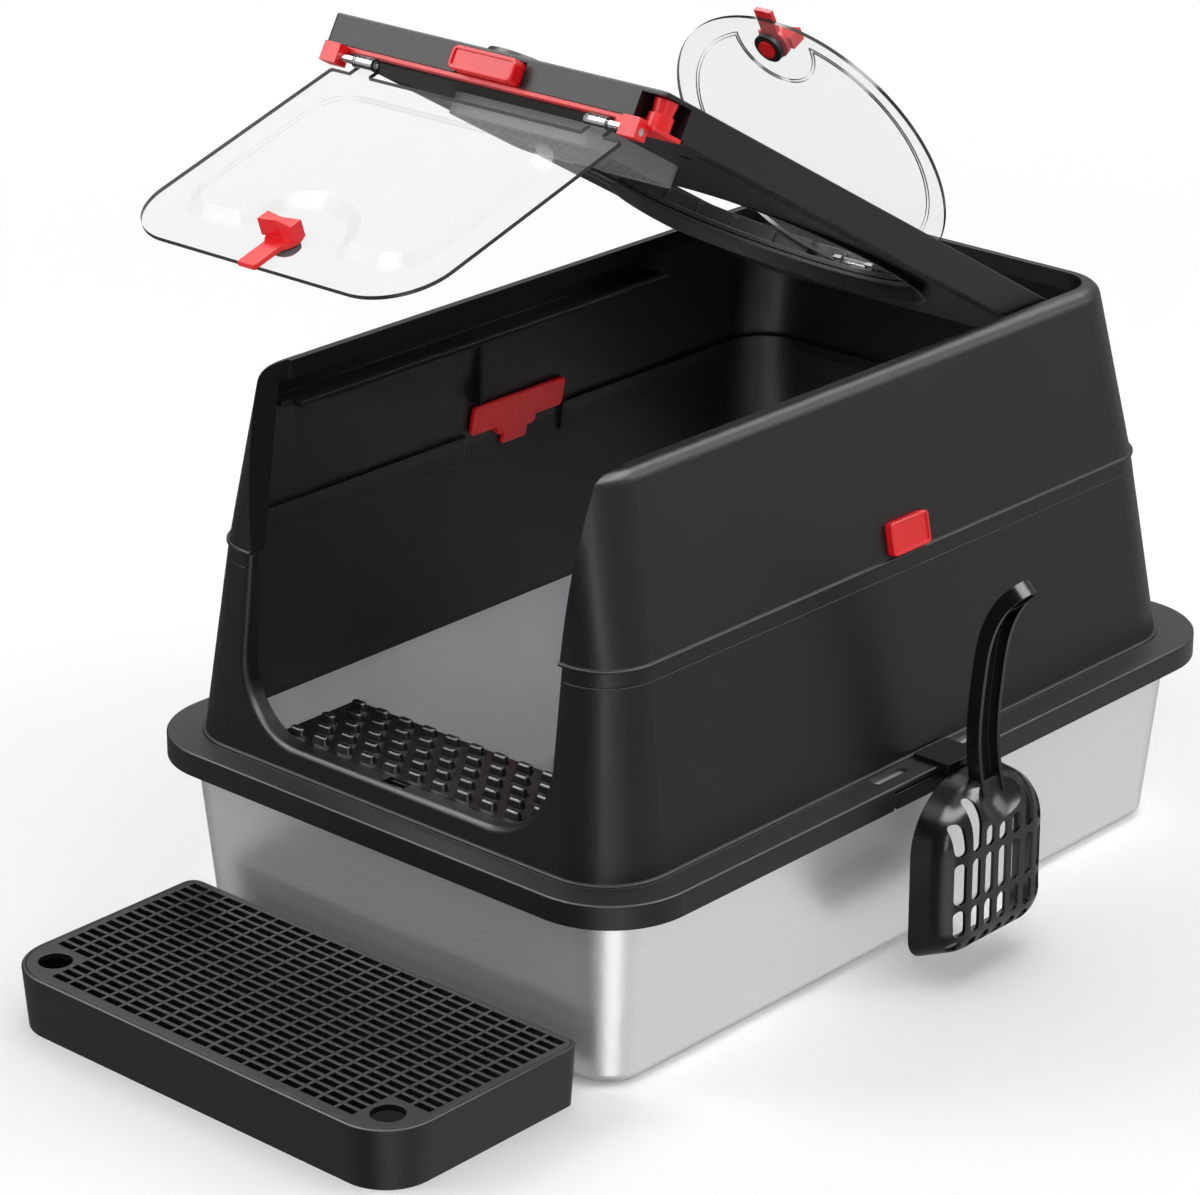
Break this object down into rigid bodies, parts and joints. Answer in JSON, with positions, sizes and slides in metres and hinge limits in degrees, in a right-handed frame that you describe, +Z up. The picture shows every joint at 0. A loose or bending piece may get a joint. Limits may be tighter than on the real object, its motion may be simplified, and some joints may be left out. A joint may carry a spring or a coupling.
{
  "type": "enclosed_litter_box",
  "caption": "Enclosed cat litter box with a steel pan, black two-tier walls, lift-up lid with clear front and round top flaps, a grate step and a hanging scoop",
  "frame": {"origin": "centre of the flat pan bottom, on the floor", "axes": "+X to the right side with the scoop, +Y from the entry to the rear, +Z up"},
  "size_m": [0.4617, 0.7489, 0.5782],
  "materials": {
    "stainless": "satin stainless sheet, fine horizontal grain",
    "black_plastic": "fine moulded texture, soft sheen",
    "black_inner": "moulded, slightly duller",
    "red_plastic": "smooth moulded red",
    "clear_plastic": "clear, slightly smoky at the edges",
    "steel_pin": "polished pin",
    "filter_pad": "felted charcoal pad",
    "mesh_plastic": "pale moulded mesh",
    "tread_rubber": "glossy studs"
  },
  "bodies": {
    "box": {"steel_pan": "stainless", "lower_enclosure": "black_plastic", "upper_enclosure": "black_plastic", "entry_tread": "tread_rubber", "left_buckle_pin": "steel_pin", "right_buckle_pin": "steel_pin", "scoop_hanger": "black_plastic"},
    "lid": {"lid_frame": "black_plastic", "lid_liner": "black_inner", "lid_hinge_pins": "steel_pin", "flap_hinge_carrier": "red_plastic", "flap_hinge_pins": "steel_pin", "top_flap_hinge_pin": "steel_pin", "filter_cover": "mesh_plastic", "filter_clip": "clear_plastic", "carbon_filter": "filter_pad"},
    "front_flap": {"front_flap": "clear_plastic"},
    "front_latch": {"front_flap_latch": "red_plastic", "front_flap_latch_hub": "black_inner"},
    "top_flap": {"top_flap": "clear_plastic"},
    "top_latch": {"top_flap_latch": "red_plastic", "top_flap_latch_hub": "black_inner"},
    "release_button": {"lid_release_button": "red_plastic"},
    "corner_knob": {"corner_lock_knob": "red_plastic"},
    "right_clip": {"right_seam_clip": "red_plastic"},
    "left_clip": {"left_seam_clip": "red_plastic"},
    "right_buckle": {"right_pan_buckle": "black_plastic"},
    "left_buckle": {"left_pan_buckle": "black_plastic"},
    "scoop": {"scoop": "black_plastic"},
    "step": {"step_base": "black_plastic"},
    "grate": {"step_grate": "black_plastic"}
  },
  "joints": [
    {"name": "lid_hinge", "type": "hinge", "parent": "box", "child": "lid", "pos_m": [0, 0.186, 0.3586], "axis": [-1, 0, 0], "range_deg": [-30, 60]},
    {"name": "front_flap_hinge", "type": "hinge", "parent": "lid", "child": "front_flap", "pos_m": [0, -0.19223, 0.55549], "axis": [1, 0, 0], "range_deg": [-40, 33.6]},
    {"name": "front_flap_latch_turn", "type": "hinge", "parent": "front_flap", "child": "front_latch", "pos_m": [0, -0.34968, 0.50615], "axis": [0, -0.299, 0.9542], "range_deg": [0, 90]},
    {"name": "top_flap_hinge", "type": "hinge", "parent": "lid", "child": "top_flap", "pos_m": [0, 0.15625, 0.36908], "axis": [-1, 0, 0], "range_deg": [-32, 60]},
    {"name": "top_flap_latch_turn", "type": "hinge", "parent": "top_flap", "child": "top_latch", "pos_m": [0, 0.0694, 0.53242], "axis": [0, 0.8829, 0.4695], "range_deg": [0, 90]},
    {"name": "release_button_press", "type": "slide", "parent": "lid", "child": "release_button", "axis": [0, 0.866, -0.5], "range_m": [0, 0.004], "stiffness_N_per_m": 300, "springref_m": -0.003},
    {"name": "corner_knob_turn", "type": "hinge", "parent": "lid", "child": "corner_knob", "pos_m": [0.122, -0.17037, 0.56435], "axis": [0, 0.5, 0.866], "range_deg": [0, 90]},
    {"name": "right_seam_clip_press", "type": "slide", "parent": "box", "child": "right_clip", "axis": [-0.9811, 0, -0.1936], "range_m": [0, 0.003], "stiffness_N_per_m": 300, "springref_m": -0.003},
    {"name": "left_seam_clip_press", "type": "slide", "parent": "box", "child": "left_clip", "axis": [0.9811, 0, -0.1936], "range_m": [0, 0.003], "stiffness_N_per_m": 300, "springref_m": -0.003},
    {"name": "right_buckle_swing", "type": "hinge", "parent": "box", "child": "right_buckle", "pos_m": [0.1986, 0, 0.124], "axis": [0, -1, 0], "range_deg": [0, 18]},
    {"name": "left_buckle_swing", "type": "hinge", "parent": "box", "child": "left_buckle", "pos_m": [-0.1986, 0, 0.124], "axis": [0, 1, 0], "range_deg": [0, 18]},
    {"name": "scoop_lift", "type": "slide", "parent": "box", "child": "scoop", "axis": [0, 0, 1], "range_m": [0, 0.05]},
    {"name": "step_slide", "type": "slide", "parent": "box", "child": "step", "axis": [0, -1, 0], "range_m": [0, 0.15]},
    {"name": "grate_lift", "type": "slide", "parent": "step", "child": "grate", "axis": [0, 0, 1], "range_m": [0, 0.06]}
  ]
}
